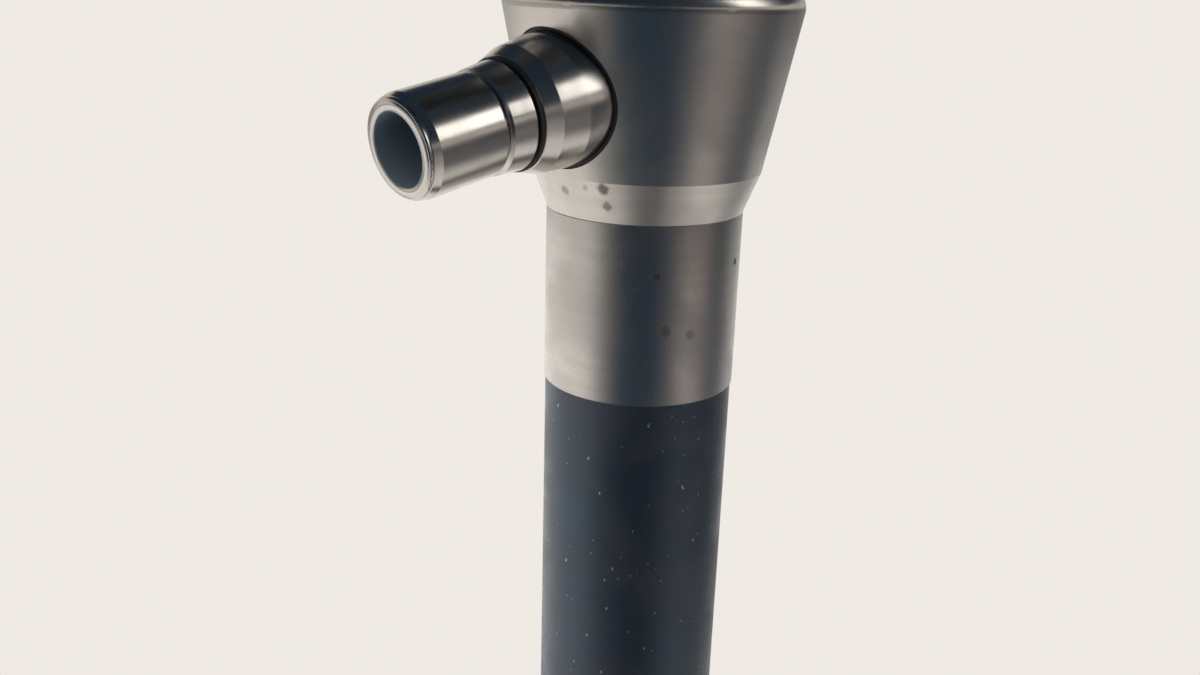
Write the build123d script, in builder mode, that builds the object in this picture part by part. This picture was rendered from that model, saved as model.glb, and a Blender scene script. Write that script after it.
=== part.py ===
"""A rigid rod-lens endoscope, 10 mm across and straight looking, in millimetres.

It stands on its eyepiece. The origin is the centre of the eyepiece's face, +Z runs along the optical
axis to the tip, and the light post stands out towards +X. Levels are heights above the eyepiece's face.
Reaches are distances from the optical axis, along the light post's own axis.
"""

import os
from math import asin, copysign, cos, radians, sin, tan

from build123d import *

# Eyepiece cup and its window
flange_diameter = 31.8
flange_thickness = 2.6
flange_round = 0.3
neck_diameter = 21.0
neck_length = 6.0
grip_shoulder_length = 5.5
grip_diameter = 17.0
grip_length = 12.0
cup_rim_width = 1.8
cup_depth = 6.5
cup_floor_diameter = 15.0
web_thickness = 4.5
web_aperture = 8.0
eye_window_diameter = 10.0
eye_window_thickness = 1.4
window_gasket_thickness = 0.3
window_gasket_width = 0.8
bezel_diameter = 13.0
bezel_thickness = 1.5
bezel_aperture = 8.6
cup_seal_wire = 0.8
cup_seal_height = 7.0

# Ocular barrel and what it holds
barrel_diameter = 14.0
barrel_length = 19.6
barrel_bore = 11.2
barrel_floor_thickness = 4.0
barrel_edge = 0.3
waist_diameter = 12.6
waist_length = 4.0
barrel_spigot_diameter = 11.6
barrel_spigot_length = 2.3
field_mask_thickness = 0.4
field_mask_aperture = 4.6
ocular_spacer_length = 2.5
ocular_cell_wall = 1.0
ocular_cell_lip = 0.8
ocular_crown_thickness = 3.0
ocular_flint_thickness = 1.6
ocular_curve = 0.9
ocular_ring_length = 1.8

# Main body: shoulder, cone and bevel
cone_length = 8.95
cone_half_angle = 11.15
shoulder_round = 1.0
bevel_length = 2.04
bevel_rise = 0.785
body_wall = 1.4
chamber_bore = 9.6

# Neck sleeve between the body and the shaft
sleeve_length = 9.23
sleeve_step = 0.07
sleeve_edge = 0.05
sleeve_spigot_length = 2.6
lap_length = 4.0
lap_depth = 0.25

# Shaft
shaft_diameter = 10.0
shaft_wall = 0.5
working_length = 330.0
tip_round = 0.25

# Light post, square to the cone
post_drop = 6.95
post_tilt = 10.5
boss_diameter = 6.26
boss_reach = 9.52
boss_taper_length = 1.45
boss_taper_diameter = 5.9
boss_bevel_length = 0.77
boss_face_diameter = 5.32
boss_seat_depth = 0.95
boss_spigot_diameter = 5.1
boss_spigot_length = 0.4
stem_diameter = 4.1
stem_length = 3.38
seat_ring_width = 0.18
seat_ring_recess = 0.06
packing_diameter = 5.2
packing_length = 0.22
lock_nut_diameter = 5.08
lock_nut_front_diameter = 4.8
lock_nut_length = 1.36
lock_nut_round = 0.2
adapter_gap = 0.14
adapter_diameter = 4.68
adapter_length = 3.7
adapter_round = 0.25
nose_diameter = 4.46
nose_length = 0.36
lip_diameter = 4.36
lip_length = 0.19
lip_round = 0.1
light_bore = 3.26
ferrule_diameter = 2.9
ferrule_wall = 0.12
ferrule_start = 4.9
ferrule_length = 5.6
fibre_branch_start = 4.2

# Optics in the shaft
fibre_layer = 0.5
optic_tube_wall = 0.3
window_recess = 0.1
window_thickness = 1.0
objective_cell_wall = 1.0
objective_front_thickness = 1.4
objective_front_hollow = 0.45
objective_spacer_length = 2.0
objective_spacer_wall = 0.5
objective_crown_thickness = 1.6
objective_flint_thickness = 1.2
objective_curve = 0.4
rod_lens_count = 6
rod_lens_bow = 0.28
lens_rim = 0.5
lens_spacer_length = 7.0
lens_spacer_wall = 0.45
retainer_length = 2.0

# Clearances
slip = 0.02
cement = 0.01

# Levels that follow, from the eyepiece's face upwards
bezel_top = cup_depth + bezel_thickness
eye_window_top = bezel_top + eye_window_thickness + cement
gasket_top = eye_window_top + window_gasket_thickness
barrel_foot = cup_depth + web_thickness
grip_top = barrel_foot + grip_length
cup_seal_level = barrel_foot + cup_seal_height
barrel_top = barrel_foot + barrel_length
shoulder_level = barrel_top + waist_length
socket_top = shoulder_level + barrel_spigot_length
optic_foot = socket_top - barrel_floor_thickness
cone_top = shoulder_level + cone_length
bevel_top = cone_top + bevel_length
sleeve_foot = bevel_top - sleeve_spigot_length
sleeve_top = bevel_top + sleeve_length
lap_top = sleeve_top + lap_length
tip_level = bevel_top + working_length
post_level = bevel_top - post_drop

# Radii that follow, from the optical axis outwards
flange_radius = flange_diameter / 2
neck_radius = neck_diameter / 2
grip_radius = grip_diameter / 2
barrel_radius = barrel_diameter / 2
barrel_bore_radius = barrel_bore / 2
barrel_spigot_radius = barrel_spigot_diameter / 2
chamber_radius = chamber_bore / 2
shaft_radius = shaft_diameter / 2
shaft_bore_radius = shaft_radius - shaft_wall
lap_radius = shaft_bore_radius + lap_depth
sleeve_radius = shaft_radius + sleeve_step
optic_tube_radius = shaft_bore_radius - fibre_layer
optic_bore_radius = optic_tube_radius - optic_tube_wall
lens_radius = optic_bore_radius - slip
cone_top_radius = sleeve_radius + bevel_rise
cone_slope = tan(radians(cone_half_angle))
shoulder_radius = cone_top_radius + cone_length * cone_slope
chamber_taper_level = cone_top - (chamber_radius + body_wall - cone_top_radius) / cone_slope
chamber_foot_radius = chamber_radius + (chamber_taper_level - socket_top) * cone_slope

# The light post's axis, and reaches that follow along it
tilt = radians(post_tilt)
post_axis = Axis((0, 0, post_level), (cos(tilt), 0, sin(tilt)))
cone_radius_at_post = cone_top_radius + (cone_top - post_level) * cone_slope
surface_reach = cone_radius_at_post / (cos(tilt) + sin(tilt) * cone_slope)
seat_reach = surface_reach - boss_seat_depth
bevel_reach = boss_reach - boss_bevel_length
taper_reach = bevel_reach - boss_taper_length
stem_reach = boss_reach + stem_length
nut_reach = boss_reach + packing_length
nut_front_reach = nut_reach + lock_nut_length
adapter_reach = nut_front_reach + adapter_gap
nose_reach = adapter_reach + adapter_length
lip_reach = nose_reach + nose_length
post_end = lip_reach + lip_length
fibre_face_reach = ferrule_start + ferrule_length
boss_radius = boss_diameter / 2
boss_bore_radius = ferrule_diameter / 2 + slip
stem_radius = stem_diameter / 2
seat_ring_radius = boss_radius + seat_ring_width

# The plane that holds both axes, with the light post's axis as its upright
post_section = Plane(origin=(0, 0, post_level), x_dir=(-sin(tilt), 0, cos(tilt)), z_dir=(0, 1, 0))


def at_reach(reach):
    """The plane square to the light post's axis at a reach."""
    return Plane(origin=post_axis.position + post_axis.direction * reach, z_dir=post_axis.direction)


def save(piece, node):
    piece.part.label = node
    export_step(piece.part, f"parts/{node}.step")


def save_tube(node, inner, outer, start, end, place=Plane.XY.offset):
    """Write a plain tube, along the optical axis unless place says otherwise."""
    with BuildPart() as ring:
        with BuildSketch(place(start)):
            Circle(outer)
            Circle(inner, mode=Mode.SUBTRACT)
        extrude(amount=end - start)
    save(ring, node)


def save_lens(node, radius, foot, top, foot_bow=0, top_bow=0):
    """Write a lens with flat rims, whose faces bow by a signed height at the optical axis."""
    rim = radius - lens_rim

    def add_face(level, bow):
        if bow == 0:
            Line((rim, level), (0, level))
            return
        curve = (rim**2 + bow**2) / (2 * abs(bow))
        half_angle = asin(rim / curve) / 2
        middle_rise = bow - copysign(curve * (1 - cos(half_angle)), bow)
        ThreePointArc((rim, level), (curve * sin(half_angle), level + middle_rise), (0, level + bow))

    with BuildPart() as glass:
        with BuildSketch(Plane.XZ):
            with BuildLine():
                Line((0, foot + foot_bow), (0, top + top_bow))
                add_face(top, top_bow)
                Polyline((rim, top), (radius, top), (radius, foot), (rim, foot))
                add_face(foot, foot_bow)
            make_face()
        revolve(axis=Axis.Z)
    save(glass, node)


os.makedirs("parts", exist_ok=True)

# Black eyepiece cup: a flange for a camera's claws, a waisted neck and a grip that holds the barrel
flange_back = flange_thickness + (flange_radius - neck_radius) / 2
neck_top = flange_back + neck_length
grip_foot = neck_top + grip_shoulder_length
neck_middle = (neck_top + grip_foot) / 2
neck_middle_radius = (neck_radius + grip_radius) / 2
cup_bore_radius = barrel_radius + slip
with BuildPart() as eyepiece_cup:
    with BuildSketch(Plane.XZ):
        with BuildLine():
            outside = Polyline(
                (flange_radius - cup_rim_width, 0),
                (flange_radius, 0),
                (flange_radius, flange_thickness),
                (neck_radius, flange_back),
                (neck_radius, neck_top),
            )
            hollow = TangentArc(outside @ 1, (neck_middle_radius, neck_middle), tangent=(0, 1))
            TangentArc(hollow @ 1, (grip_radius, grip_foot), tangent=hollow % 1)
            Polyline(
                (grip_radius, grip_foot),
                (grip_radius, grip_top),
                (cup_bore_radius, grip_top),
                (cup_bore_radius, barrel_foot),
                (web_aperture / 2, barrel_foot),
                (web_aperture / 2, gasket_top),
                (eye_window_diameter / 2 + slip, gasket_top),
                (eye_window_diameter / 2 + slip, bezel_top),
                (bezel_diameter / 2 + slip, bezel_top),
                (bezel_diameter / 2 + slip, cup_depth),
                (cup_floor_diameter / 2, cup_depth),
                (flange_radius - cup_rim_width, 0),
            )
        make_face()
    revolve(axis=Axis.Z)
    flange_edges = eyepiece_cup.edges().filter_by(GeomType.CIRCLE).sort_by(SortBy.RADIUS)[-2:]
    fillet(flange_edges, flange_round)
save(eyepiece_cup, "eyepiece_cup")

# Window at the bottom of the cup, between a gasket and a threaded bezel
eye_window_radius = eye_window_diameter / 2
save_tube("window_bezel", bezel_aperture / 2, bezel_diameter / 2, cup_depth, bezel_top)
with BuildPart() as eye_window:
    with BuildSketch(Plane.XY.offset(bezel_top + cement)):
        Circle(eye_window_radius)
    extrude(amount=eye_window_thickness)
save(eye_window, "eye_window")
save_tube(
    "window_gasket", eye_window_radius - window_gasket_width, eye_window_radius, eye_window_top, gasket_top
)

# Steel ocular barrel, whose spigot screws into the body and whose floor carries the optic tube
seal_groove_radius = barrel_radius - cup_seal_wire - slip
with BuildPart() as ocular_barrel:
    with BuildSketch(Plane.XZ):
        with BuildLine():
            Polyline(
                (barrel_bore_radius, barrel_foot),
                (barrel_radius, barrel_foot),
                (barrel_radius, barrel_top),
                (waist_diameter / 2, barrel_top),
                (waist_diameter / 2, shoulder_level),
                (barrel_spigot_radius, shoulder_level),
                (barrel_spigot_radius, socket_top),
                (optic_tube_radius + slip, socket_top),
                (optic_tube_radius + slip, optic_foot),
                (barrel_bore_radius, optic_foot),
                close=True,
            )
        make_face()
    revolve(axis=Axis.Z)
    barrel_rims = ocular_barrel.edges().filter_by(GeomType.CIRCLE).sort_by(SortBy.RADIUS)[-2:]
    chamfer(barrel_rims, barrel_edge)
    with BuildSketch(Plane.XZ):
        with Locations((barrel_radius, cup_seal_level)):
            Rectangle(2 * (barrel_radius - seal_groove_radius), cup_seal_wire + 2 * slip)
    revolve(axis=Axis.Z, mode=Mode.SUBTRACT)
save(ocular_barrel, "ocular_barrel")

with BuildPart() as cup_seal:
    with BuildSketch(Plane.XZ):
        with Locations((barrel_radius - cup_seal_wire / 2, cup_seal_level)):
            Circle(cup_seal_wire / 2)
    revolve(axis=Axis.Z)
save(cup_seal, "cup_seal")

# Field mask and ocular lens, held in the barrel by a threaded ring
in_barrel = barrel_bore_radius - slip
cell_bore_radius = in_barrel - ocular_cell_wall
ocular_lens_radius = cell_bore_radius - slip
ring_bore_radius = ocular_lens_radius - lens_rim
mask_foot = optic_foot - field_mask_thickness
cell_top = mask_foot - ocular_spacer_length
flint_top = cell_top - ocular_cell_lip
crown_top = flint_top - ocular_flint_thickness - cement
crown_foot = crown_top - ocular_crown_thickness
cell_foot = crown_foot - ocular_ring_length
save_tube("field_mask", field_mask_aperture / 2, in_barrel, mask_foot, optic_foot)
save_tube("ocular_spacer", cell_bore_radius, in_barrel, cell_top, mask_foot)
with BuildPart() as ocular_cell:
    with BuildSketch(Plane.XZ):
        with BuildLine():
            Polyline(
                (cell_bore_radius - ocular_cell_lip, cell_top),
                (in_barrel, cell_top),
                (in_barrel, cell_foot),
                (cell_bore_radius, cell_foot),
                (cell_bore_radius, flint_top),
                (cell_bore_radius - ocular_cell_lip, flint_top),
                close=True,
            )
        make_face()
    revolve(axis=Axis.Z)
save(ocular_cell, "ocular_cell")
save_lens("ocular_flint", ocular_lens_radius, crown_top + cement, flint_top, foot_bow=ocular_curve)
save_lens("ocular_crown", ocular_lens_radius, crown_foot, crown_top, -ocular_curve, ocular_curve)
save_tube("ocular_lens_ring", ring_bore_radius, ocular_lens_radius, cell_foot, crown_foot)
save_tube("ocular_lock_ring", ring_bore_radius, in_barrel, cell_foot - ocular_ring_length, cell_foot)

# Main body: one turned steel piece, hollow for the fibres, with a seat for the light post
with BuildPart() as main_body:
    with BuildSketch(Plane.XZ):
        with BuildLine():
            Polyline(
                (barrel_spigot_radius + slip, shoulder_level),
                (shoulder_radius, shoulder_level),
                (cone_top_radius, cone_top),
                (sleeve_radius, bevel_top),
                (chamber_radius, bevel_top),
                (chamber_radius, chamber_taper_level),
                (chamber_foot_radius, socket_top),
                (barrel_spigot_radius + slip, socket_top),
                close=True,
            )
        make_face()
    revolve(axis=Axis.Z)
    shoulder_edge = main_body.edges().filter_by(GeomType.CIRCLE).sort_by(SortBy.RADIUS)[-1]
    fillet(shoulder_edge, shoulder_round)
    with BuildSketch(at_reach(seat_reach)):
        Circle(seat_ring_radius + slip)
    extrude(amount=boss_reach, mode=Mode.SUBTRACT)
    with BuildSketch(at_reach(optic_tube_radius)):
        Circle(boss_spigot_diameter / 2 + slip)
    extrude(amount=boss_reach, mode=Mode.SUBTRACT)
save(main_body, "main_body")

# Neck sleeve, with a spigot into the body and a lap inside the shaft
with BuildPart() as neck_sleeve:
    with BuildSketch(Plane.XZ):
        with BuildLine():
            Polyline(
                (shaft_bore_radius, sleeve_foot),
                (chamber_radius - slip, sleeve_foot),
                (chamber_radius - slip, bevel_top),
                (sleeve_radius, bevel_top),
                (sleeve_radius, sleeve_top),
                (lap_radius - slip, sleeve_top),
                (lap_radius - slip, lap_top - slip),
                (shaft_bore_radius, lap_top - slip),
                close=True,
            )
        make_face()
    revolve(axis=Axis.Z)
    sleeve_edges = neck_sleeve.edges().filter_by(GeomType.CIRCLE).sort_by(SortBy.RADIUS)[-2:]
    chamfer(sleeve_edges, sleeve_edge)
save(neck_sleeve, "neck_sleeve")

# Black-coated shaft, rounded at the tip
with BuildPart() as shaft_tube:
    with BuildSketch(Plane.XZ):
        with BuildLine():
            Polyline(
                (lap_radius, sleeve_top),
                (shaft_radius, sleeve_top),
                (shaft_radius, tip_level),
                (shaft_bore_radius, tip_level),
                (shaft_bore_radius, lap_top),
                (lap_radius, lap_top),
                close=True,
            )
        make_face()
    revolve(axis=Axis.Z)
    tip_edge = shaft_tube.edges().filter_by(GeomType.CIRCLE).group_by(Axis.Z)[-1].sort_by(SortBy.RADIUS)[-1]
    fillet(tip_edge, tip_round)
save(shaft_tube, "shaft_tube")

# Light fibres: a layer round the optic tube that gathers in the body and leaves by the light post
with BuildPart() as light_fibres:
    with BuildSketch(Plane.XZ):
        with BuildLine():
            Polyline(
                (optic_tube_radius, tip_level),
                (shaft_bore_radius - slip, tip_level),
                (shaft_bore_radius - slip, sleeve_foot - slip),
                (chamber_radius - slip, sleeve_foot - slip),
                (chamber_radius - slip, chamber_taper_level),
                (chamber_foot_radius - slip, socket_top + slip),
                (optic_tube_radius, socket_top + slip),
                close=True,
            )
        make_face()
    revolve(axis=Axis.Z)
    with BuildSketch(at_reach(ferrule_start - slip)):
        Circle(ferrule_diameter / 2 + slip)
    extrude(amount=ferrule_length, mode=Mode.SUBTRACT)
    with BuildSketch(at_reach(fibre_branch_start)):
        Circle(ferrule_diameter / 2 - ferrule_wall - slip)
    extrude(amount=fibre_face_reach - fibre_branch_start)
    with BuildSketch(Plane.XY.offset(socket_top)):
        Circle(optic_tube_radius + slip)
    extrude(amount=tip_level - socket_top, mode=Mode.SUBTRACT)
save(light_fibres, "light_fibres")

# Light post: a steel boss in the body's seat, with a black ring of sealant round its foot
with BuildPart() as post_boss:
    with BuildSketch(post_section):
        with BuildLine():
            Polyline(
                (boss_bore_radius, seat_reach - boss_spigot_length),
                (boss_spigot_diameter / 2, seat_reach - boss_spigot_length),
                (boss_spigot_diameter / 2, seat_reach),
                (boss_radius, seat_reach),
                (boss_radius, taper_reach),
                (boss_taper_diameter / 2, bevel_reach),
                (boss_face_diameter / 2, boss_reach),
                (stem_radius, boss_reach),
                (stem_radius, stem_reach),
                (boss_bore_radius, stem_reach),
                close=True,
            )
        make_face()
    revolve(axis=post_axis)
save(post_boss, "post_boss")

with BuildPart() as post_seat_ring:
    with BuildSketch(at_reach(seat_reach)):
        Circle(seat_ring_radius)
        Circle(boss_radius + slip, mode=Mode.SUBTRACT)
    extrude(amount=boss_reach - seat_reach)
    with BuildSketch(Plane.XZ):
        with BuildLine():
            Polyline(
                (0, shoulder_level),
                (shoulder_radius - seat_ring_recess, shoulder_level),
                (cone_top_radius - seat_ring_recess, cone_top),
                (0, cone_top),
                close=True,
            )
        make_face()
    revolve(axis=Axis.Z, mode=Mode.INTERSECT)
save(post_seat_ring, "post_seat_ring")

# Packing ring, lock nut and adapter on the boss's stem, and the ferrule that ends the fibres in its bore
on_stem = stem_radius + slip
save_tube("post_packing", on_stem, packing_diameter / 2, boss_reach, nut_reach, at_reach)
with BuildPart() as post_lock_nut:
    with BuildSketch(post_section):
        with BuildLine():
            Polyline(
                (on_stem, nut_reach),
                (lock_nut_diameter / 2, nut_reach),
                (lock_nut_front_diameter / 2, nut_front_reach),
                (on_stem, nut_front_reach),
                close=True,
            )
        make_face()
    revolve(axis=post_axis)
    nut_edge = post_lock_nut.edges().filter_by(GeomType.CIRCLE).sort_by(SortBy.RADIUS)[-1]
    fillet(nut_edge, lock_nut_round)
save(post_lock_nut, "post_lock_nut")

with BuildPart() as post_adapter:
    with BuildSketch(post_section):
        with BuildLine():
            Polyline(
                (on_stem, adapter_reach),
                (adapter_diameter / 2, adapter_reach),
                (adapter_diameter / 2, nose_reach),
                (nose_diameter / 2, lip_reach),
                (lip_diameter / 2, lip_reach),
                (lip_diameter / 2, post_end),
                (light_bore / 2, post_end),
                (light_bore / 2, stem_reach + cement),
                (on_stem, stem_reach + cement),
                close=True,
            )
        make_face()
    revolve(axis=post_axis)
    adapter_rings = post_adapter.edges().filter_by(GeomType.CIRCLE)
    fillet(adapter_rings.group_by(post_axis)[0].sort_by(SortBy.RADIUS)[-1], adapter_round)
    adapter_rings = post_adapter.edges().filter_by(GeomType.CIRCLE)
    fillet(adapter_rings.group_by(post_axis)[-1].sort_by(SortBy.RADIUS)[-1], lip_round)
save(post_adapter, "post_adapter")
save_tube(
    "light_ferrule",
    ferrule_diameter / 2 - ferrule_wall,
    ferrule_diameter / 2,
    ferrule_start,
    fibre_face_reach,
    at_reach,
)

# Optic tube, from the barrel's floor to the tip, with the window just inside its end
window_foot = tip_level - window_recess - window_thickness
save_tube("optic_tube", optic_bore_radius, optic_tube_radius, optic_foot, tip_level)
with BuildPart() as distal_window:
    with BuildSketch(Plane.XY.offset(window_foot)):
        Circle(lens_radius)
    extrude(amount=window_thickness)
save(distal_window, "distal_window")

# Objective: a hollow front lens, a spacer and a cemented pair in a cell behind the window
cell_radius = lens_radius - objective_cell_wall
objective_radius = cell_radius - slip
front_foot = window_foot - cement - objective_front_thickness
objective_crown_top = front_foot - objective_spacer_length
objective_flint_top = objective_crown_top - objective_crown_thickness - cement
objective_foot = objective_flint_top - objective_flint_thickness
objective_bore = objective_radius - objective_spacer_wall
save_tube("objective_cell", cell_radius, lens_radius, objective_foot, window_foot)
save_lens(
    "objective_front_lens",
    objective_radius,
    front_foot,
    window_foot - cement,
    foot_bow=objective_front_hollow,
)
save_tube("objective_spacer", objective_bore, objective_radius, objective_crown_top, front_foot)
save_lens(
    "objective_crown",
    objective_radius,
    objective_flint_top + cement,
    objective_crown_top,
    -objective_curve,
    objective_curve,
)
save_lens(
    "objective_flint", objective_radius, objective_foot, objective_flint_top, top_bow=-objective_curve
)

# Rod lenses with a spacer tube in front of each, held from the eye's side by a threaded retainer
retainer_top = optic_foot + retainer_length
train_length = objective_foot - retainer_top
rod_pitch = train_length / rod_lens_count
save_tube("train_retainer", lens_radius - lens_rim, lens_radius, optic_foot, retainer_top)
for number in range(1, rod_lens_count + 1):
    rod_foot = retainer_top + (rod_lens_count - number) * rod_pitch
    rod_top = rod_foot + rod_pitch - lens_spacer_length
    save_lens(f"rod_lens_{number}", lens_radius, rod_foot, rod_top, -rod_lens_bow, rod_lens_bow)
    save_tube(
        f"lens_spacer_{number}",
        lens_radius - lens_spacer_wall,
        lens_radius,
        rod_top,
        rod_foot + rod_pitch,
    )
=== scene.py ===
import bpy
from math import cos, radians, sin
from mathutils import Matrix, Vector


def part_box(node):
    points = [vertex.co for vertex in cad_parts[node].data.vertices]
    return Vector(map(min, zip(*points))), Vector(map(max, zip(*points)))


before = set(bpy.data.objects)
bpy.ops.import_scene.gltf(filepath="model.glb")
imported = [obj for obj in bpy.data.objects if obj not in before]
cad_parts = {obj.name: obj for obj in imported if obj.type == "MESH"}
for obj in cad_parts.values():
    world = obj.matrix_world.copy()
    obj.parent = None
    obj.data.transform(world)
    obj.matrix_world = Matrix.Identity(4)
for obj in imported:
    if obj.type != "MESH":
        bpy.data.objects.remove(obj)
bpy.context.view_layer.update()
print("frame loaded,", len(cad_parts), "nodes")

scene = bpy.context.scene
scene.view_settings.view_transform = "Standard"

mm = 0.001
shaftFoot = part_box("shaft_tube")[0][2]  # the black shaft meets the neck sleeve here
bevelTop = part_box("main_body")[1][2]  # the neck sleeve meets the bevel here
postTilt = radians(10.5)  # the light post leans this much towards the tip
postDrop = 6.95 * mm  # from the bevel's top down to where the post leaves the optical axis
postFoot = (0, 0, bevelTop - postDrop)
postAxis = (cos(postTilt), 0, sin(postTilt))


# Small helpers for building node trees
def addNode(tree, kind, x=0, y=0, **settings):
    node = tree.nodes.new(kind)
    node.location = (x, y)
    for name, value in settings.items():
        setattr(node, name, value)
    return node


def feed(tree, socket, value):
    if isinstance(value, bpy.types.NodeSocket):
        tree.links.new(value, socket)
    elif value is not None:
        socket.default_value = value


def mathStep(tree, operation, *values, x=0, y=0, clamp=False):
    node = addNode(tree, "ShaderNodeMath", x, y, operation=operation, use_clamp=clamp)
    for socket, value in zip(node.inputs, values):
        feed(tree, socket, value)
    return node.outputs[0]


def vectorStep(tree, operation, first, second=None, x=0, y=0):
    node = addNode(tree, "ShaderNodeVectorMath", x, y, operation=operation)
    feed(tree, node.inputs[0], first)
    feed(tree, node.inputs[3 if operation == "SCALE" else 1], second)
    givesNumber = operation in ("DOT_PRODUCT", "DISTANCE", "LENGTH")
    return node.outputs["Value" if givesNumber else "Vector"]


def inMillimetres(tree, place, x=-700, y=0):
    return vectorStep(tree, "SCALE", place, 1 / mm, x, y)


def stretch(tree, place, factors, x=0, y=0):
    amounts = addNode(tree, "ShaderNodeCombineXYZ", x - 200, y - 200)
    for socket, factor in zip(amounts.inputs, factors):
        feed(tree, socket, factor)
    return vectorStep(tree, "MULTIPLY", place, amounts.outputs[0], x, y)


def addNoise(tree, place, scale, detail, x=0, y=0, distortion=0.0):
    node = addNode(tree, "ShaderNodeTexNoise", x, y)
    feed(tree, node.inputs["Vector"], place)
    feed(tree, node.inputs["Scale"], scale)
    node.inputs["Detail"].default_value = detail
    node.inputs["Distortion"].default_value = distortion
    return node.outputs[0]


def addCells(tree, place, scale, x=0, y=0):
    node = addNode(tree, "ShaderNodeTexVoronoi", x, y, feature="F1")
    feed(tree, node.inputs["Vector"], place)
    feed(tree, node.inputs["Scale"], scale)
    return node.outputs


def mixColour(tree, factor, first, second, x=0, y=0):
    node = addNode(tree, "ShaderNodeMix", x, y, data_type="RGBA")
    feed(tree, node.inputs[0], factor)
    feed(tree, node.inputs[6], first)
    feed(tree, node.inputs[7], second)
    return node.outputs[2]


def remap(tree, value, low, high, toLow, toHigh, x=0, y=0):
    node = addNode(tree, "ShaderNodeMapRange", x, y, interpolation_type="SMOOTHSTEP")
    for socket, number in zip(node.inputs[:5], (value, low, high, toLow, toHigh)):
        feed(tree, socket, number)
    return node.outputs[0]


# Each effect starts as a group with named inputs and outputs: F for a number, V for a vector
def startGroup(name, inputs, outputs):
    kinds = {"F": "NodeSocketFloat", "V": "NodeSocketVector"}
    tree = bpy.data.node_groups.new(name, "ShaderNodeTree")
    for label, kind in inputs.items():
        tree.interface.new_socket(label, in_out="INPUT", socket_type=kinds[kind])
    for label, kind in outputs.items():
        tree.interface.new_socket(label, in_out="OUTPUT", socket_type=kinds[kind])
    entry = addNode(tree, "NodeGroupInput", -900)
    leave = addNode(tree, "NodeGroupOutput", 900)
    return tree, entry.outputs, leave.inputs


# Fine lines left by the lathe: they run round the piece's own Z axis
def makeTurnedLines():
    look = {"fineDetail": 3.0, "broadScale": 0.22, "broadDetail": 2.0}
    tree, given, result = startGroup(
        "turnedLines",
        {"Place": "V", "Lines per mm": "F", "Waviness": "F"},
        {"Height": "F", "Streaks": "F"},
    )
    factors = (given["Waviness"], given["Waviness"], given["Lines per mm"])
    spot = stretch(tree, inMillimetres(tree, given["Place"]), factors, -200)
    feed(tree, result["Height"], addNoise(tree, spot, 1.0, look["fineDetail"], 50, 100))
    broad = addNoise(tree, spot, look["broadScale"], look["broadDetail"], 50, -200)
    feed(tree, result["Streaks"], broad)
    return tree


# Soft smudges left by handling
def makeHandling():
    look = {"detail": 4.0, "distortion": 0.6}
    tree, given, result = startGroup(
        "handling", {"Place": "V", "Smudge size": "F"}, {"Smudges": "F"}
    )
    place = inMillimetres(tree, given["Place"])
    scale = mathStep(tree, "DIVIDE", 1.0, given["Smudge size"], x=-500, y=-200)
    smudge = addNoise(tree, place, scale, look["detail"], -300, distortion=look["distortion"])
    feed(tree, result["Smudges"], smudge)
    return tree


# Short scratches and specks: one small stroke in some cells of a stretched pattern
def makeScratches():
    tree, given, result = startGroup(
        "scratches",
        {"Place": "V", "Cells per mm": "F", "Stretch": "F", "Turn": "F", "Width": "F", "Kept": "F"},
        {"Mask": "F"},
    )
    turned = addNode(tree, "ShaderNodeVectorRotate", -500, rotation_type="AXIS_ANGLE")
    feed(tree, turned.inputs["Vector"], inMillimetres(tree, given["Place"]))
    turned.inputs["Axis"].default_value = (0.4, 0.8, 0.45)  # askew, so no stroke lies level
    feed(tree, turned.inputs["Angle"], given["Turn"])
    long = stretch(tree, turned.outputs[0], (1.0, 1.0, given["Stretch"]), -300)
    cells = addCells(tree, long, given["Cells per mm"], -100, 100)
    stroke = mathStep(tree, "LESS_THAN", cells["Distance"], given["Width"], x=100, y=100)
    chance = addNode(tree, "ShaderNodeSeparateXYZ", 100, -150)
    feed(tree, chance.inputs[0], cells["Color"])
    shown = mathStep(tree, "LESS_THAN", chance.outputs[0], given["Kept"], x=300, y=-150)
    feed(tree, result["Mask"], mathStep(tree, "MULTIPLY", stroke, shown, x=500))
    return tree


# One stain with a ragged edge, at a chosen place in mm
def makeStain():
    look = {"ragScale": 3.5, "ragDetail": 4.0, "ragged": 1.1, "solid": 0.35, "clear": 1.15}
    tree, given, result = startGroup(
        "stain", {"Place": "V", "Centre": "V", "Radius": "F"}, {"Mask": "F"}
    )
    place = inMillimetres(tree, given["Place"])
    away = vectorStep(tree, "DISTANCE", place, given["Centre"], -500)
    share = mathStep(tree, "DIVIDE", away, given["Radius"], x=-250)
    rag = addNoise(tree, place, look["ragScale"], look["ragDetail"], -500, -200)
    rag = mathStep(tree, "SUBTRACT", rag, 0.5, x=-300, y=-200)  # as often inwards as outwards
    wander = mathStep(tree, "MULTIPLY", rag, look["ragged"], x=-100, y=-200)
    edge = mathStep(tree, "ADD", share, wander, x=100)
    feed(tree, result["Mask"], remap(tree, edge, look["solid"], look["clear"], 1.0, 0.0, x=300))
    return tree


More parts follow.
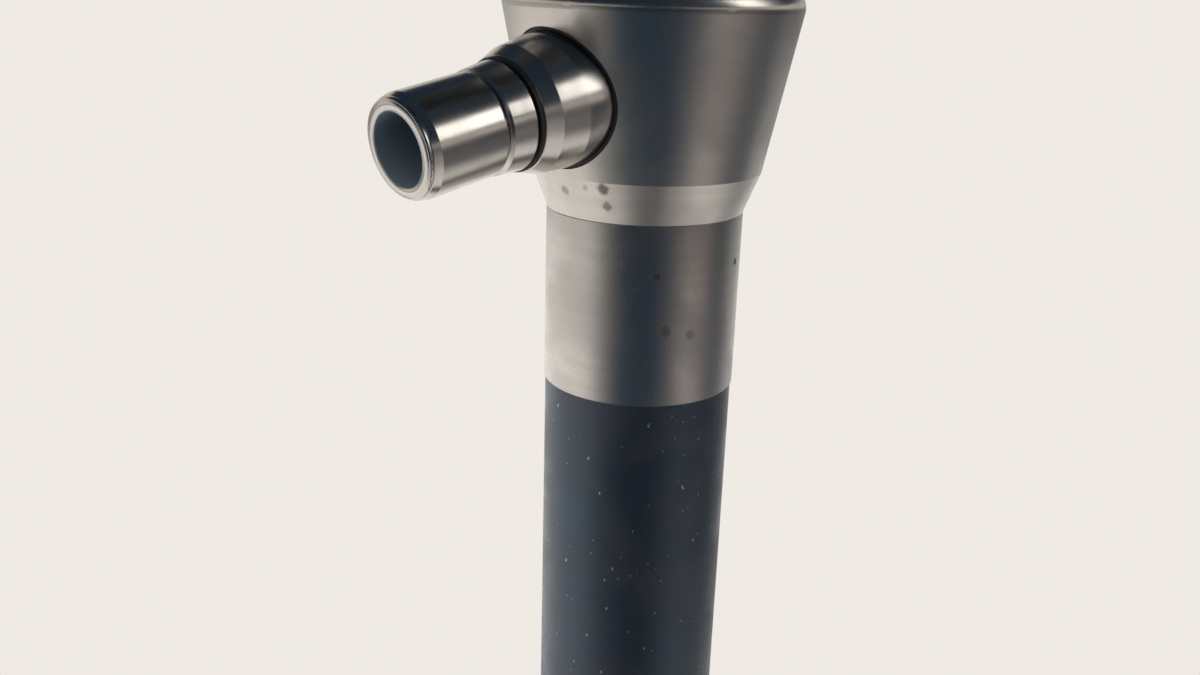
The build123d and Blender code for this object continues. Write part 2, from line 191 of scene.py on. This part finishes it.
# The true normal of a turned surface, so that no facet or seam of its mesh shows in its gloss.
# Foot is a point on the lathe's axis and Axis its direction, of length 1.
def makeTurnedNormal():
    tree, given, result = startGroup(
        "turnedNormal",
        {"Place": "V", "Foot": "V", "Axis": "V"},
        {"Normal": "V", "Outward": "V", "Radius": "F", "Along": "F"},
    )
    axis = given["Axis"]
    arm = vectorStep(tree, "SUBTRACT", given["Place"], given["Foot"], -700, 200)
    rise = vectorStep(tree, "DOT_PRODUCT", arm, axis, -550, 50)
    onAxis = vectorStep(tree, "SCALE", axis, rise, -400, 50)
    sideways = vectorStep(tree, "SUBTRACT", arm, onAxis, -250, 200)
    outward = vectorStep(tree, "NORMALIZE", sideways, None, -100, 200)

    facet = addNode(tree, "ShaderNodeNewGeometry", -800, -300).outputs["Normal"]
    along = vectorStep(tree, "DOT_PRODUCT", facet, axis, -550, -300)
    alongSquared = mathStep(tree, "MULTIPLY", along, along, x=-400, y=-300)
    rest = mathStep(tree, "SUBTRACT", 1.0, alongSquared, x=-250, y=-300, clamp=True)
    across = mathStep(tree, "SQRT", rest, x=-100, y=-300)
    facing = vectorStep(tree, "DOT_PRODUCT", facet, outward, 0, -150)
    side = mathStep(tree, "SIGN", facing, x=150, y=-150)  # -1 on the wall of a bore

    reach = mathStep(tree, "MULTIPLY", across, side, x=300, y=-150)
    radial = vectorStep(tree, "SCALE", outward, reach, 450, 150)
    level = vectorStep(tree, "SCALE", axis, along, 450, -150)
    feed(tree, result["Normal"], vectorStep(tree, "ADD", radial, level, 600))
    feed(tree, result["Outward"], outward)
    feed(tree, result["Radius"], vectorStep(tree, "LENGTH", sideways, None, 0, 400))
    feed(tree, result["Along"], along)
    return tree


groups = {
    "turnedLines": makeTurnedLines(),
    "handling": makeHandling(),
    "scratches": makeScratches(),
    "stain": makeStain(),
    "turnedNormal": makeTurnedNormal(),
}
print("shared effects built")


def startMaterial(name):
    material = bpy.data.materials.new(name)
    material.use_nodes = True
    tree = material.node_tree
    tree.nodes.clear()
    shader = addNode(tree, "ShaderNodeBsdfPrincipled", 600)
    output = addNode(tree, "ShaderNodeOutputMaterial", 900)
    feed(tree, output.inputs[0], shader.outputs[0])
    place = addNode(tree, "ShaderNodeTexCoord", -1500).outputs["Object"]
    return material, tree, shader, place


def addEffect(tree, name, place, x=0, y=0, **values):
    node = addNode(tree, "ShaderNodeGroup", x, y, node_tree=groups[name])
    feed(tree, node.inputs["Place"], place)
    for label, value in values.items():
        feed(tree, node.inputs[label.replace("_", " ")], value)
    return node.outputs


def addBump(tree, shader, height, distance, normal=None):
    node = addNode(tree, "ShaderNodeBump", 350, -400)
    node.inputs["Strength"].default_value = 1.0
    node.inputs["Distance"].default_value = distance
    feed(tree, node.inputs["Height"], height)
    feed(tree, node.inputs["Normal"], normal)
    feed(tree, shader.inputs["Normal"], node.outputs[0])


# The light post's own frame: its Z runs out along the post
def alongPost(tree, place):
    node = addNode(tree, "ShaderNodeMapping", -1300, -300, vector_type="TEXTURE")
    node.inputs["Location"].default_value = postFoot
    node.inputs["Rotation"].default_value = (0, radians(90) - postTilt, 0)
    feed(tree, node.inputs["Vector"], place)
    return node.outputs[0]


# Inside the post's bore the steel is dull and less metallic, and a painted blue-grey haze stands in
# for the light seen in the bore. Radii from the post's axis.
boreLookWithPaintedHaze = {
    "wall": 1.64 * mm, "mouth": 1.70 * mm,
    # colour: painted haze, a lighter blue-grey in place of the light seen inside the bore
    "colour": (0.15, 0.21, 0.27, 1), "duller": 0.4, "lessMetal": 0.9,
}


def dullBoreWithPaintedHaze(tree, radius, colour, rough):
    inBore = remap(tree, radius, boreLookWithPaintedHaze["wall"], boreLookWithPaintedHaze["mouth"], 1.0, 0.0, x=-600, y=600)
    # painted haze: the bore's wall is tinted blue-grey to stand in for the light inside it
    colour = mixColour(tree, inBore, colour, boreLookWithPaintedHaze["colour"], x=200, y=500)
    duller = mathStep(tree, "MULTIPLY", inBore, boreLookWithPaintedHaze["duller"], x=200)
    rough = mathStep(tree, "ADD", rough, duller, x=350)
    lessMetal = mathStep(tree, "MULTIPLY", inBore, boreLookWithPaintedHaze["lessMetal"], x=200, y=200)
    metal = mathStep(tree, "SUBTRACT", 1.0, lessMetal, x=350, y=200)
    return colour, rough, metal


# The post's end face shines like a rolled lip: its normal leans in at the bore, and out at the rim
lipLook = {
    "inner": 1.62 * mm, "outer": 2.10 * mm, "lean": 0.75,
    "flat": (0.97, 0.995),  # how squarely a face looks along the post to count as the end face
}


def rollLip(tree, turned):
    onFace = remap(tree, turned["Along"], *lipLook["flat"], 0.0, 1.0, x=-600, y=-900)
    inner, outer, lean = lipLook["inner"], lipLook["outer"], lipLook["lean"]
    swell = remap(tree, turned["Radius"], inner, outer, -lean, lean, x=-600, y=-1100)
    amount = mathStep(tree, "MULTIPLY", onFace, swell, x=-450, y=-1000)
    bend = vectorStep(tree, "SCALE", turned["Outward"], amount, -300, -900)
    rolled = vectorStep(tree, "ADD", turned["Normal"], bend, -100, -900)
    return vectorStep(tree, "NORMALIZE", rolled, None, 100, -900)


# Turned stainless steel, satin or polished by the values it is given
def makeSteel(name, look, onPost=False):
    material, tree, shader, place = startMaterial(name)
    foot, axis = (postFoot, postAxis) if onPost else ((0, 0, 0), (0, 0, 1))
    turned = addEffect(tree, "turnedNormal", place, -900, -900, Foot=foot, Axis=axis)
    if onPost:
        place = alongPost(tree, place)
    lines = addEffect(
        tree, "turnedLines", place, -900, 300,
        Lines_per_mm=look["lines"], Waviness=look["wave"],
    )
    smudges = addEffect(tree, "handling", place, -900, Smudge_size=look["smudgeSize"])["Smudges"]
    tone = remap(tree, smudges, 0.35, 0.7, 0.0, 1.0, x=-600, y=200)
    colour = mixColour(tree, tone, look["colour"], look["smudgeColour"], x=-400, y=300)
    streak = remap(tree, lines["Streaks"], 0.3, 0.7, 0.0, look["streakTone"], x=-600, y=400)
    colour = mixColour(tree, streak, colour, look["streakColour"], x=-200, y=300)
    rough = remap(tree, smudges, 0.3, 0.75, *look["rough"], x=-400, y=-100)
    rougher = mathStep(tree, "MULTIPLY", streak, look["streakRough"], x=-400, y=-250)
    rough = mathStep(tree, "ADD", rough, rougher, x=-100, y=-100)
    if look["stains"]:
        stain = 0.0
        for number, (centre, radius, strength) in enumerate(look["stains"]):
            y = -300 - 150 * number
            seen = addEffect(tree, "stain", place, -900, y, Centre=centre, Radius=radius)["Mask"]
            seen = mathStep(tree, "MULTIPLY", seen, strength, x=-600, y=y)
            stain = mathStep(tree, "MAXIMUM", stain, seen, x=-400, y=y)
        colour = mixColour(tree, stain, colour, look["stainColour"], x=0, y=300)
        rougher = mathStep(tree, "MULTIPLY", stain, look["stainRough"], x=-100, y=-250)
        rough = mathStep(tree, "ADD", rough, rougher, x=100, y=-100)
    if onPost:
        # the bore gets dull steel and a painted blue-grey haze
        colour, rough, metal = dullBoreWithPaintedHaze(tree, turned["Radius"], colour, rough)
        normal = rollLip(tree, turned)
    else:
        metal, normal = 1.0, turned["Normal"]
        shader.inputs["Anisotropic"].default_value = look["anisotropy"]
        grain = addNode(tree, "ShaderNodeTangent", 300, -700, direction_type="RADIAL", axis="Z")
        feed(tree, shader.inputs["Tangent"], grain.outputs[0])
    feed(tree, shader.inputs["Base Color"], colour)
    feed(tree, shader.inputs["Roughness"], rough)
    feed(tree, shader.inputs["Metallic"], metal)
    addBump(tree, shader, lines["Height"], look["bump"], normal)
    return material


bodyLook = {
    "colour": (0.54, 0.52, 0.49, 1),
    "rough": (0.22, 0.30),
    "anisotropy": 0.6,
    "smudgeSize": 4.0,  # mm
    "smudgeColour": (0.46, 0.44, 0.42, 1),
    "lines": 9.0,  # lathe lines per mm
    "wave": 0.35,
    "bump": 0.001 * mm,
    "streakTone": 0.14,
    "streakColour": (0.33, 0.32, 0.315, 1),
    "streakRough": 0.05,
    "stainColour": (0.09, 0.08, 0.07, 1),
    "stainRough": 0.25,
    "stains": [  # centre in mm, radius in mm, strength
        ((5.29, -2.17, 43.89), 0.36, 0.75),
        ((4.95, -2.14, 44.74), 0.30, 0.6),
        ((5.60, 0.09, 44.20), 0.30, 0.45),
        ((5.58, -1.26, 43.90), 0.18, 0.3),
    ],
}
sleeveLook = dict(
    bodyLook,
    colour=(0.58, 0.555, 0.53, 1), smudgeColour=(0.49, 0.47, 0.455, 1),
    rough=(0.24, 0.32), lines=14.0, bump=0.0012 * mm,
    stains=[
        ((3.20, -3.94, 48.08), 0.27, 0.8),
        ((2.77, -4.25, 50.87), 0.38, 0.55),
        ((-1.75, -4.76, 47.95), 0.24, 0.8),
        ((1.55, -4.83, 51.14), 0.35, 0.3),
    ],
)
polishedLook = dict(
    bodyLook,
    colour=(0.56, 0.54, 0.515, 1), smudgeColour=(0.50, 0.48, 0.46, 1),
    rough=(0.20, 0.27), lines=7.0, bump=0.0005 * mm, streakTone=0.1, stains=[],
)
innerLook = dict(
    bodyLook, colour=(0.36, 0.36, 0.36, 1), smudgeColour=(0.3, 0.3, 0.3, 1), stains=[]
)

coatLook = {
    "colour": (0.048, 0.072, 0.100, 1),
    "worn": (0.068, 0.080, 0.108, 1),
    "bare": (0.55, 0.56, 0.58, 1),
    "bareShare": 0.6,
    "rough": (0.34, 0.46),
    "metal": 0.75,
    "gloss": 1.6,  # IOR
    "smudgeSize": 3.0,
    "bump": 0.001 * mm,
    "lines": {"Lines_per_mm": 6.0, "Waviness": 0.3},
    "hairs": {"Cells_per_mm": 1.5, "Stretch": 0.22, "Turn": 0.6, "Width": 0.075, "Kept": 0.8},
    "specks": {"Cells_per_mm": 1.6, "Stretch": 0.8, "Turn": 1.9, "Width": 0.06, "Kept": 0.9},
}


# The blue-black coat on the shaft, rubbed and scratched by use
def makeCoat(name, look):
    material, tree, shader, place = startMaterial(name)
    turned = addEffect(tree, "turnedNormal", place, 0, -800, Foot=(0, 0, 0), Axis=(0, 0, 1))
    lines = addEffect(tree, "turnedLines", place, -900, 300, **look["lines"])
    smudges = addEffect(tree, "handling", place, -900, Smudge_size=look["smudgeSize"])["Smudges"]
    hairs = addEffect(tree, "scratches", place, -900, -300, **look["hairs"])["Mask"]
    specks = addEffect(tree, "scratches", place, -900, -600, **look["specks"])["Mask"]
    scars = mathStep(tree, "MAXIMUM", hairs, specks, x=-600, y=-400)
    tone = remap(tree, smudges, 0.4, 0.7, 0.0, 1.0, x=-600, y=200)
    colour = mixColour(tree, tone, look["colour"], look["worn"], x=-400, y=300)
    bare = mathStep(tree, "MULTIPLY", scars, look["bareShare"], x=-400, y=-200)
    colour = mixColour(tree, bare, colour, look["bare"], x=-100, y=300)
    rough = remap(tree, smudges, 0.3, 0.7, *look["rough"], x=-200, y=-100)
    feed(tree, shader.inputs["Base Color"], colour)
    feed(tree, shader.inputs["Roughness"], rough)
    shader.inputs["Metallic"].default_value = look["metal"]
    shader.inputs["IOR"].default_value = look["gloss"]
    height = mathStep(tree, "SUBTRACT", lines["Height"], scars, x=-200, y=-400)
    addBump(tree, shader, height, look["bump"], turned["Normal"])
    return material


cupLook = {"colour": (0.015, 0.018, 0.021, 1), "rough": 0.38, "grain": 9.0}  # grain per mm
# seals' black: real seals, and on the post's seat ring and packing also painted shade for the gaps
# round the boss
sealAndGapShadeLook = {"colour": (0.008, 0.008, 0.009, 1), "rough": 0.55, "grain": 5.0}
blackenedLook = {"colour": (0.014, 0.014, 0.016, 1), "rough": 0.42, "grain": 12.0}
blackWear = {"smudgeSize": 5.0, "paler": 1.8, "rougher": 0.12, "bump": 0.012 * mm, "detail": 4.0}


# Matt black moulded plastic, the softer black of seals and sealant, and blackened metal. On the
# post's seat ring and packing the seals' black is partly painted shade, standing in for the shaded
# gaps round the boss.
def makeBlack(name, look):
    material, tree, shader, place = startMaterial(name)
    grain = addNoise(tree, place, look["grain"] / mm, blackWear["detail"], -700)
    smudges = addEffect(tree, "handling", place, -900, -300, Smudge_size=blackWear["smudgeSize"])
    smudges = smudges["Smudges"]
    paler = tuple(blackWear["paler"] * value for value in look["colour"][:3]) + (1,)
    tone = remap(tree, smudges, 0.4, 0.75, 0.0, 1.0, x=-500, y=200)
    colour = mixColour(tree, tone, look["colour"], paler, x=-200, y=200)
    rougher = look["rough"] + blackWear["rougher"]
    rough = remap(tree, smudges, 0.3, 0.7, look["rough"], rougher, x=-200)
    feed(tree, shader.inputs["Base Color"], colour)
    feed(tree, shader.inputs["Roughness"], rough)
    addBump(tree, shader, grain, blackWear["bump"])
    return material


glassLook = {
    "colour": (0.93, 0.97, 0.96, 1), "rough": (0.0, 0.04), "gloss": 1.52, "smudgeSize": 2.0,
}


# Coated optical glass, which stays dark because the tube behind it is dark
def makeGlass(name, look):
    material, tree, shader, place = startMaterial(name)
    smudges = addEffect(tree, "handling", place, -900, Smudge_size=look["smudgeSize"])["Smudges"]
    feed(tree, shader.inputs["Roughness"], remap(tree, smudges, 0.4, 0.8, *look["rough"], x=-300))
    shader.inputs["Base Color"].default_value = look["colour"]
    shader.inputs["Transmission Weight"].default_value = 1.0
    shader.inputs["IOR"].default_value = look["gloss"]
    return material


fibreLook = {
    "perMm": 16.0, "core": (0.25, 0.5), "rough": (0.6, 0.25), "bump": 0.004 * mm,
    "cladding": (0.020, 0.028, 0.036, 1), "colour": (0.060, 0.082, 0.105, 1),
}


# Packed glass fibres, ground flat: a fine speckle of tiny discs
def makeFibres(name, look):
    material, tree, shader, place = startMaterial(name)
    cells = addCells(tree, inMillimetres(tree, place, -900), look["perMm"], -700)
    core = remap(tree, cells["Distance"], *look["core"], 1.0, 0.0, x=-400)
    colour = mixColour(tree, core, look["cladding"], look["colour"], x=-100, y=200)
    feed(tree, shader.inputs["Base Color"], colour)
    feed(tree, shader.inputs["Roughness"], remap(tree, core, 0.0, 1.0, *look["rough"], x=-100))
    addBump(tree, shader, core, look["bump"])
    return material


materials = {
    "bodySteel": makeSteel("bodySteel", bodyLook),
    "sleeveSteel": makeSteel("sleeveSteel", sleeveLook),
    "polishedSteel": makeSteel("polishedSteel", polishedLook, onPost=True),
    "bezelSteel": makeSteel("bezelSteel", polishedLook),
    "innerSteel": makeSteel("innerSteel", innerLook),
    "shaftCoat": makeCoat("shaftCoat", coatLook),
    "blackCup": makeBlack("blackCup", cupLook),
    "blackSealAndGapShade": makeBlack("blackSealAndGapShade", sealAndGapShadeLook),
    "blackenedMetal": makeBlack("blackenedMetal", blackenedLook),
    "opticalGlass": makeGlass("opticalGlass", glassLook),
    "fibreEnds": makeFibres("fibreEnds", fibreLook),
}
print("materials built,", len(materials))

finishOf = {  # what isn't named here is inner steel
    "bodySteel": ["main_body", "ocular_barrel"],
    "sleeveSteel": ["neck_sleeve"],
    "polishedSteel": ["post_boss", "post_lock_nut", "post_adapter"],
    "bezelSteel": ["window_bezel"],
    "shaftCoat": ["shaft_tube"],
    "blackCup": ["eyepiece_cup"],
    # the seat ring's and packing's black is partly painted shade in the gaps round the boss
    "blackSealAndGapShade": ["post_seat_ring", "post_packing", "window_gasket", "cup_seal"],
    "blackenedMetal": [
        "field_mask", "ocular_spacer", "ocular_cell", "ocular_lens_ring", "ocular_lock_ring",
        "objective_cell",
    ],
    "opticalGlass": [
        "eye_window", "distal_window", "ocular_crown", "ocular_flint",
        "objective_front_lens", "objective_crown", "objective_flint",
    ] + [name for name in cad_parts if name.startswith("rod_lens_")],
    "fibreEnds": ["light_fibres"],
}
dressed = {node: finish for finish, nodes in finishOf.items() for node in nodes}
for name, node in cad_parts.items():
    node.data.materials.clear()
    node.data.materials.append(materials[dressed.get(name, "innerSteel")])
print("nodes dressed,", len(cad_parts))


# Pale floor, a hair's breadth under the eyepiece
floorLook = {
    "size": 12.0, "drop": 0.02 * mm, "rough": 0.7,
    "colour": (0.80, 0.77, 0.73, 1), "cloud": (0.77, 0.745, 0.71, 1),
}
bpy.ops.object.select_all(action="DESELECT")
bpy.ops.mesh.primitive_plane_add(size=floorLook["size"], location=(0, 0, -floorLook["drop"]))
floor = bpy.context.object
floor.name = "floor"
floorMaterial, tree, shader, place = startMaterial("paleFloor")
clouds = addNoise(tree, place, 3.0, 2.0, -700)
floorColour = mixColour(tree, clouds, floorLook["colour"], floorLook["cloud"])
feed(tree, shader.inputs["Base Color"], floorColour)
shader.inputs["Roughness"].default_value = floorLook["rough"]
floor.data.materials.append(floorMaterial)


# Studio surroundings, as the metal mirrors them: bright behind the object and beyond its tip,
# and dark where the camera stands
studioTones = {  # degrees round from the light post, and the tone there
    "walls": [
        (0, (0.24, 0.235, 0.23, 1)),
        (8, (0.55, 0.53, 0.50, 1)),
        (22, (1.05, 1.01, 0.95, 1)),
        (90, (1.30, 1.25, 1.18, 1)),
        (150, (1.0, 0.96, 0.91, 1)),
        (187, (0.44, 0.43, 0.43, 1)),
        (211, (0.11, 0.13, 0.14, 1)),
        (228, (0.14, 0.14, 0.15, 1)),
        (248, (0.38, 0.345, 0.33, 1)),
        (262, (0.46, 0.42, 0.40, 1)),
        (284, (0.09, 0.10, 0.12, 1)),
        (300, (0.020, 0.042, 0.070, 1)),
        (340, (0.020, 0.042, 0.070, 1)),
        (359, (0.22, 0.215, 0.21, 1)),
    ],
    "table": [
        (0, (0.75, 0.72, 0.68, 1)),
        (25, (1.15, 1.10, 1.03, 1)),
        (200, (1.0, 0.95, 0.89, 1)),
        (245, (0.95, 0.89, 0.84, 1)),
        (275, (0.50, 0.47, 0.46, 1)),
        (300, (0.10, 0.11, 0.12, 1)),
        (325, (0.16, 0.165, 0.17, 1)),
        (359, (0.74, 0.71, 0.67, 1)),
    ],
}
studioLevels = {
    "dimHorizon": 0.45, "wallFoot": (6, 19),  # degrees up: the walls grow from dim to full
    "tableEdge": (27, 46),  # degrees up: the walls give way to the table beyond the tip
    "background": (0.86, 0.82, 0.775, 1),  # what the camera sees behind the object
}
world = bpy.data.worlds.new("studio")
scene.world = world
world.use_nodes = True
tree = world.node_tree
tree.nodes.clear()
sky = addNode(tree, "ShaderNodeTexCoord", -1400)
split = addNode(tree, "ShaderNodeSeparateXYZ", -1200)
feed(tree, split.inputs[0], sky.outputs["Generated"])
turn = mathStep(tree, "ARCTAN2", split.outputs[1], split.outputs[0], x=-1000)
turn = mathStep(tree, "DIVIDE", turn, radians(360), x=-850)
aroundShare = mathStep(tree, "FRACT", turn, x=-700)
rise = split.outputs[2]


def addTones(name, x, y):
    ramp = addNode(tree, "ShaderNodeValToRGB", x, y)
    feed(tree, ramp.inputs[0], aroundShare)
    ramp.color_ramp.interpolation = "EASE"
    stops = ramp.color_ramp.elements
    for index, (degreesRound, tone) in enumerate(studioTones[name]):
        if index < 2:  # a new ramp already holds two stops
            stops[index].position = degreesRound / 360
            stops[index].color = tone
        else:
            stops.new(degreesRound / 360).color = tone
    return ramp.outputs[0]


# A blend over the rise of the view, between two angles in degrees
def addRise(angles, low, high, x, y):
    return remap(tree, rise, *[sin(radians(angle)) for angle in angles], low, high, x=x, y=y)


full = addRise(studioLevels["wallFoot"], studioLevels["dimHorizon"], 1.0, -500, -500)
walls = mixColour(tree, full, (0, 0, 0, 1), addTones("walls", -700, 100), x=-500)
over = addRise(studioLevels["tableEdge"], 0.0, 1.0, -500, -300)
tones = mixColour(tree, over, walls, addTones("table", -700, -200), x=-350, y=100)
reflected = addNode(tree, "ShaderNodeBackground", -200, 100)
feed(tree, reflected.inputs[0], tones)
seen = addNode(tree, "ShaderNodeBackground", -200, -100)
seen.inputs[0].default_value = studioLevels["background"]
rays = addNode(tree, "ShaderNodeLightPath", -400, 400)
choose = addNode(tree, "ShaderNodeMixShader", 100)
feed(tree, choose.inputs[0], rays.outputs["Is Camera Ray"])
feed(tree, choose.inputs[1], reflected.outputs[0])
feed(tree, choose.inputs[2], seen.outputs[0])
feed(tree, addNode(tree, "ShaderNodeOutputWorld", 300).inputs[0], choose.outputs[0])


# Soft boxes: one for the floor and the matt pieces, and a small window that the metal mirrors
softBoxes = {
    "floorBox": {
        "at": (0.5, 0.35, 0.9), "aim": (0, 0, 0), "size": 0.9,
        "power": 5.0, "colour": (1.0, 0.96, 0.91), "metal": False,
    },
    "windowBox": {
        "at": (-0.024, -0.050, 0.013), "aim": (0.010, -0.002, 0.040), "size": 0.026,
        "power": 0.0056, "colour": (1.0, 0.95, 0.88), "metal": True,
    },
}
for name, box in softBoxes.items():
    bpy.ops.object.light_add(type="AREA", location=box["at"])
    lamp = bpy.context.object
    lamp.name = name
    lamp.data.size = box["size"]
    lamp.data.energy = box["power"]
    lamp.data.color = box["colour"]
    lamp.visible_camera = False
    lamp.visible_glossy = box["metal"]
    lamp.visible_diffuse = not box["metal"]
    aim = Vector(box["aim"]) - lamp.location
    lamp.rotation_euler = aim.to_track_quat("-Z", "Y").to_euler()


# A dark card on the floor, seen only in mirror images: an oval with a strip towards the camera
card = {
    "radius": 0.13, "stretch": 1.6, "at": (0.02, -0.05, 0.0001),
    "length": 3.0, "width": 0.5, "turn": -45, "height": 0.0002,
    "tone": (0.020, 0.036, 0.055, 1),
}
bpy.ops.mesh.primitive_circle_add(
    vertices=48, radius=card["radius"], fill_type="NGON", location=card["at"]
)
oval = bpy.context.object
oval.name = "floorCard"
oval.scale = (card["stretch"], 1, 1)
bpy.ops.mesh.primitive_plane_add(size=1, location=(card["length"] / 2, 0, card["height"]))
strip = bpy.context.object
strip.scale = (card["length"], card["width"], 1)
bpy.ops.object.transform_apply(location=True, rotation=True, scale=True)
strip.rotation_euler = (0, 0, radians(card["turn"]))
bpy.ops.object.select_all(action="DESELECT")
strip.select_set(True)
oval.select_set(True)
bpy.context.view_layer.objects.active = oval
bpy.ops.object.join()
cardMaterial = bpy.data.materials.new("cardBlack")
cardMaterial.use_nodes = True
tree = cardMaterial.node_tree
tree.nodes.clear()
glow = addNode(tree, "ShaderNodeEmission", 0)
glow.inputs[0].default_value = card["tone"]
feed(tree, addNode(tree, "ShaderNodeOutputMaterial", 300).inputs[0], glow.outputs[0])
oval.data.materials.append(cardMaterial)
oval.visible_camera = False
oval.visible_diffuse = False
oval.visible_shadow = False
oval.visible_transmission = False


# Camera: close, from the eyepiece's side, held upside down so that the tip points down the picture
cameraSetup = {
    "at": (0.0420558, -0.0385370, -0.0205450),  # metres from where the black shaft starts
    "turn": (-108.0814, 1.6825, -135.1560),  # degrees
    "lens": 33.44, "sensor": 36.0,  # mm
    "clip": (0.001, 100.0),
}
bpy.ops.object.camera_add()
camera = bpy.context.object
camera.location = Vector(cameraSetup["at"]) + Vector((0, 0, shaftFoot))
camera.rotation_euler = [radians(angle) for angle in cameraSetup["turn"]]
camera.data.lens = cameraSetup["lens"]
camera.data.sensor_width = cameraSetup["sensor"]
camera.data.clip_start, camera.data.clip_end = cameraSetup["clip"]
scene.camera = camera
print("studio ready")
